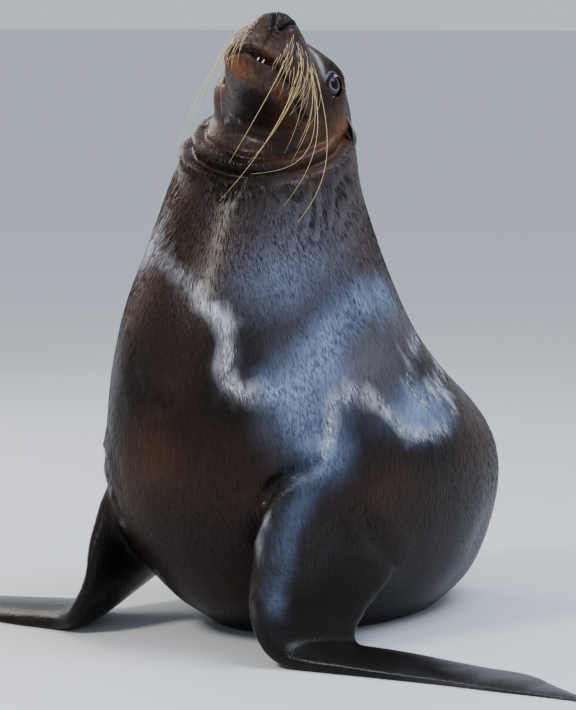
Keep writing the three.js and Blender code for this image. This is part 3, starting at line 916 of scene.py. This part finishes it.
# %% Teeth
TEETH = ((0.0, 1.8), (7.5, 2.0))  # how far left, and height, in the head's frame
TOOTH_AROUND = 10
spots, faces = [], []
for left, size in TEETH:
    faces += tube(4, TOOTH_AROUND, base=len(spots))
    for level, wide in ((-4, 1.0), (0, 0.9), (0.6 * size, 0.6), (size, 0.25)):
        for turn in np.arange(TOOTH_AROUND) * 2 * math.pi / TOOTH_AROUND:
            spots.append((left + wide * math.cos(turn), 232 + wide * math.sin(turn), -33.5 + level))
finish_piece(mesh_from("front_teeth", from_head(spots), faces), TOOTH)
print("teeth:", len(TEETH))

# %% [markdown]
# ## The coat
# The fur is short, wet and lies flat, so most of it is in the bump of the hide. Small solid tufts lie
# over that, where it catches light and breaks the outline: each is a thin wedge with its root in the
# skin and its tip pointing along the lie, from nose to tail. They are smallest on the face and stand up
# a little more where the coat is drying.

# %% Grow the tufts
DRYING = BANDS[:3] + BANDS[4:6]  # breast, shoulder, fringe and ring


def lie(places, normals):
    """The way the fur lies at each place: from the nose back over the head, down and back on the trunk."""
    head, _, _ = part_masks(places)
    low = ramp(places[:, 2], 0.25, 0.08)
    way = np.stack([0 * low, 0.3 + 0.8 * low, 0.3 * low - 1], 1)
    way = way + head[:, None] * (1.6 * head_way((0, -1, -0.15)) - way)
    way += 0.25 * np.stack([lumps(places, 0.035, k) for k in (11, 12, 13)], 1)
    way -= (way * normals).sum(1)[:, None] * normals
    return way / norm(way, axis=1)[:, None]


def fur_rough(places):
    """How far the fur stands up: most on the neck and where it dries, least on the belly."""
    rough = 0.10 + 0.7 * ramp(places[:, 2], 0.42, 0.64) * (1 - 0.5 * face_share(places))
    for _, share, width, both, path in DRYING:
        for mirror in (1, -1) if both else (1,):
            near = bell(body_distance(places * (mirror, 1, 1), path), 2.0 * (width / 1000))
            rough = np.maximum(rough, share * near)
    by_ear = oval(on_left(to_head(places)), (95, 20, -15), 55)
    return rough * (0.75 + 0.25 * lumps(places, 0.05, 4)) * (1 - 0.85 * by_ear)


draw = np.random.default_rng(21)
skin_mesh.calc_loop_triangles()
places = read(skin_mesh.vertices, "co", 3)
normals = normals_of(skin_mesh)
triples = read(skin_mesh.loop_triangles, "vertices", 3, np.int32)
a, b, c = (places[triples[:, k]] for k in range(3))
area = 0.5 * norm(np.cross(b - a, c - a), axis=1)
middle = (a + b + c) / 3
face = face_share(middle)
spacing = (0.0074 - 0.0040 * ramp(fur_rough(middle), 0.05, 0.8)) * (1 - 0.5 * face)
wanted = fur_room(middle) * area / spacing ** 2
count = np.floor(wanted + draw.random(len(wanted))).astype(int)
chosen = np.repeat(np.arange(len(count)), count)
first, second = draw.random(len(chosen)), draw.random(len(chosen))
over = first + second > 1
first[over], second[over] = 1 - first[over], 1 - second[over]
shares = np.stack([1 - first - second, first, second], 1)[:, :, None]
roots = (places[triples[chosen]] * shares).sum(1)
up_ways = (normals[triples[chosen]] * shares).sum(1)
up_ways /= norm(up_ways, axis=1)[:, None]
ways = lie(roots, up_ways)
face = face_share(roots)
muzzle = ramp(to_head(roots)[:, 1], 120, 200) * face
rough = fur_rough(roots)
length = (0.014 - 0.007 * face - 0.002 * muzzle) * draw.uniform(0.7, 1.3, len(roots))
width = (0.0014 + 0.0006 * ramp(rough, 0.1, 0.6)) * (1 - 0.35 * face)
width *= draw.uniform(0.7, 1.25, len(roots))
speckle = np.clip(draw.normal(0, 0.45, len(roots)), -1, 1)
stray = np.minimum(np.abs(draw.normal(size=len(roots))), 1.6)
lift = np.radians(0.2 + 2.2 * rough) + np.radians(0.2 + 1.5 * rough) * stray
across = np.cross(up_ways, ways)
tip_ways = np.cos(lift)[:, None] * ways + np.sin(lift)[:, None] * up_ways
tip_ways += 0.10 * draw.normal(size=len(roots))[:, None] * across
sunk = roots - 0.0005 * up_ways
wedge = np.stack([
    sunk - 0.5 * width[:, None] * across,
    sunk + 0.5 * width[:, None] * across,
    roots + 0.22 * length[:, None] * tip_ways + ((0.03 + 0.17 * rough) * width)[:, None] * up_ways,
    roots + length[:, None] * tip_ways], 1)
wedge[..., 2] = np.maximum(wedge[..., 2], 0.0006)
WEDGE_FACES = np.array([(0, 2, 1), (0, 3, 2), (2, 3, 1), (1, 3, 0)])
WEDGE_MAP = 0.0015 * np.array([(-1, -1), (1, -1), (0, 0.2), (0, 1)])
print("tufts:", len(roots))

COAT = hide_material("wet fur", 0.0012, 5.0, 0.0, 0.36, 0.06, 0.12)
on_head = (to_head(roots)[:, 1] > 0) & (roots[:, 2] > 0.70)
on_side = np.where(roots[:, 0] > 0, 2, 3)
part = np.where(on_head, 0, np.where(roots[:, 2] > 0.48, 1, on_side))
# Each piece of the coat, and the middle from which its tufts are laid out on the map.
HEARTS = {
    "coat_head": (0.03, -0.15, 0.84), "coat_neck": (0, -0.15, 0.6),
    "coat_left": (0, -0.1, 0.25), "coat_right": (0, -0.1, 0.25),
}
for k, (name, heart) in enumerate(HEARTS.items()):
    own = part == k
    faces = (WEDGE_FACES + 4 * np.arange(own.sum())[:, None, None]).reshape(-1, 3)
    mesh = mesh_from(name, wedge[own].reshape(-1, 3), faces.tolist())
    shade_smooth(mesh)
    out = roots[own] - heart
    spread = np.stack([
        np.arctan2(out[:, 1], out[:, 0]) / (2 * np.pi) + 0.5,
        np.arctan2(out[:, 2], np.hypot(out[:, 0], out[:, 1])) / np.pi + 0.5], 1)
    spread = 0.005 + 0.99 * spread
    corner_spots = (spread[:, None] + WEDGE_MAP).reshape(-1, 2)
    mesh.uv_layers.new(name="OFBake").data.foreach_set("uv", corner_spots[faces.ravel()].ravel())
    paint(mesh, np.repeat(roots[own], 4, axis=0), np.repeat(speckle[own], 4))
    mesh.materials.append(COAT)
    piece = link(name, mesh)
    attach(piece, "root")
    print(name, len(faces), "triangles")

# %% [markdown]
# ## Whiskers
# Long stiff hairs grow in rows from the pads of the upper lip. They leave the lip outwards, turn back
# and hang, the hindmost the longest. Each is a line of points here; Geometry Nodes turns the lines into
# tapering rods.

# %% Whisker lines
draw = np.random.default_rng(7)
ROWS, IN_ROW, STEPS = 7, 7, 14
DOWN = np.array([0, 0, -1.0])
skin_tree = BVHTree.FromPolygons(
    [v.co for v in skin_mesh.vertices], [tuple(p.vertices) for p in skin_mesh.polygons])


def nearest_skin(spot):
    """The nearest place on the skin, its outward direction, and how far outside the spot lies."""
    hit, normal, _, _ = skin_tree.find_nearest(spot)
    return hit, normal, (Vector(spot) - hit) @ normal


def whisker(sign, row, place):
    """The points of one hair and its radius at each. Those of the left side, sign 1, hang longer."""
    left_side = sign > 0
    back = place / (IN_ROW - 1)
    spot = from_head((sign * (25 + 21 * back), 238 - 44 * back, -18 + 5.6 * row + 1.5 * draw.normal()))
    hit, normal, _ = nearest_skin(spot)
    outward = np.array(normal)
    long = draw.random() < (0.5 if left_side else 0.2) * back ** 1.3
    length = draw.uniform(0.14, 0.30) if long else (0.022 + 0.075 * back) * draw.uniform(0.5, 1.5)
    fan = 0.35 * back - 0.5 + 0.2 * draw.normal() if left_side else 0.12 * draw.normal()
    start = (0.32 if left_side else 0.62) * outward + 0.75 * DOWN
    start = start + fan * head_way((0.87 * sign, -0.3, 0.4)) + 0.12 * draw.normal(size=3)
    bend = 0.2 + 9.0 * length * back if left_side else -0.1
    end = DOWN + bend * head_way((-1.0 * sign, -0.25, -0.7)) + 0.14 * draw.normal(size=3)
    start, end = start / norm(start), end / norm(end)
    line = [np.array(hit) - 0.003 * outward]
    for k in range(STEPS):
        turned = ((k + 0.5) / STEPS) ** (1.2 if left_side else 0.7)
        way = start * (1 - turned) + end * turned
        line.append(line[-1] + way / norm(way) * length / STEPS)
    # A hair that would grow through the chin is a short one.
    if not left_side and min(nearest_skin(spot)[2] for spot in line[3:]) < -0.006:
        line = [line[0] + 0.3 * (spot - line[0]) for spot in line]
    taper = 1 - 0.75 * np.linspace(0, 1, STEPS + 1) ** 1.5
    return line, (0.00026 + 0.0011 * length) * taper


hairs = [whisker(sign, row, place) for sign in (1, -1) for row in range(ROWS) for place in range(IN_ROW)]
# Whiskers that would dip into the skin are lifted clear of it, and evened out again.
points = np.array([line for line, _ in hairs])
for _ in range(3):
    for line in points:
        for k in range(2, len(line)):
            hit, normal, clear = nearest_skin(line[k])
            wanted_clear = 0.003 + 0.0006 * k
            if clear < wanted_clear:
                line[k] = np.array(hit + normal * wanted_clear)
    for _ in range(8):
        points[:, 2:-1] = (points[:, 1:-2] + 2 * points[:, 2:-1] + points[:, 3:]) / 4
points = points.reshape(-1, 3)
ties = [(k, k + 1) for k in range(len(points) - 1) if (k + 1) % (STEPS + 1)]
line_mesh = mesh_from("whisker_lines", points, [], ties)
store(line_mesh, "thick", np.concatenate([radius for _, radius in hairs]))
print("whiskers:", len(hairs))

# %% Whisker rods by Geometry Nodes
tree = bpy.data.node_groups.new("tapering rods", "GeometryNodeTree")
sockets = {}
for name, way, kind in (("Lines", "INPUT", "Geometry"), ("Sides", "INPUT", "Int"),
                        ("Material", "INPUT", "Material"), ("Rods", "OUTPUT", "Geometry")):
    sockets[name] = tree.interface.new_socket(name, in_out=way, socket_type="NodeSocket" + kind)
given = add(tree, "NodeGroupInput", {})
curves = add(tree, "GeometryNodeMeshToCurve", {"Mesh": given.outputs["Lines"]})
thick = add(tree, "GeometryNodeInputNamedAttribute", {"Name": "thick"}, data_type="FLOAT")
sides = given.outputs["Sides"]
profile = add(tree, "GeometryNodeCurvePrimitiveCircle", {"Resolution": sides, "Radius": 1.0})
rods = add(tree, "GeometryNodeCurveToMesh", {
    "Curve": curves, "Profile Curve": profile, "Scale": thick, "Fill Caps": True})
real = add(tree, "GeometryNodeRealizeInstances", {"Geometry": rods})
hair = given.outputs["Material"]
coloured = add(tree, "GeometryNodeSetMaterial", {"Geometry": real, "Material": hair})
add(tree, "NodeGroupOutput", {"Rods": coloured})

guide = link("whisker_lines", line_mesh)
rodded = guide.modifiers.new("rods", "NODES")
rodded.node_group = tree
rodded[sockets["Sides"].identifier] = 5
rodded[sockets["Material"].identifier] = WHISKER
rod_mesh = evaluated(guide)
bpy.data.objects.remove(guide)
rod_mesh.name = "whiskers"
finish_piece(rod_mesh, WHISKER)
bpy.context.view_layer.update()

# %% [markdown]
# ## Studio
# A plain pale floor under a pale sky, and soft lamps: a warm key in front, cooler ones above and on the
# right, and a warm one behind that lights the rim.

# %% Floor, lights and camera
REACH = 200.0
around = [(-REACH, -REACH, 0), (REACH, -REACH, 0), (REACH, REACH, 0), (-REACH, REACH, 0)]
floor_mesh = mesh_from("floor", around, [(0, 1, 2, 3)])
floor_mesh.materials.append(plain_material("matt floor", "d6d9dd", 0.6))
link("floor", floor_mesh)

world = bpy.data.worlds.new("soft sky")
world.use_nodes = True
sky = world.node_tree.nodes["Background"]
feed(world.node_tree, sky, {"Color": (*tint("dde8f4"), 1), "Strength": 0.85})
bpy.context.scene.world = world


def lamp(name, place, aim, size, power, code):
    """A square soft lamp that points at aim."""
    light = bpy.data.lights.new(name, "AREA")
    light.size, light.energy, light.color = size, power, tint(code)
    holder = link(name, light)
    holder.location = place
    holder.rotation_euler = (Vector(aim) - Vector(place)).to_track_quat("-Z", "Y").to_euler()
    print("lamp:", name)


lamp("key, above left", (-0.6, -3.2, 3.2), (0, -0.2, 0.5), 0.8, 135, "fff6ea")
lamp("sky, above", (1.6, 0.4, 3.4), (0.1, -0.1, 0.4), 2.0, 125, "dfeaff")
lamp("low fill, right", (3.6, -1.4, 1.2), (0, -0.1, 0.4), 2.0, 12, "eef3ff")
lamp("rim, behind left", (-2.6, 0.6, 1.8), (0, -0.1, 0.6), 1.2, 35, "fff4e4")

camera = bpy.data.cameras.new("camera")
camera.lens = 144.9
camera.sensor_width = 36
viewer = link("camera", camera)
viewer.location = (2.860, -3.477, 0.943)
viewer.rotation_euler = (math.radians(90 - 6.69), 0, math.radians(40))
bpy.context.scene.camera = viewer
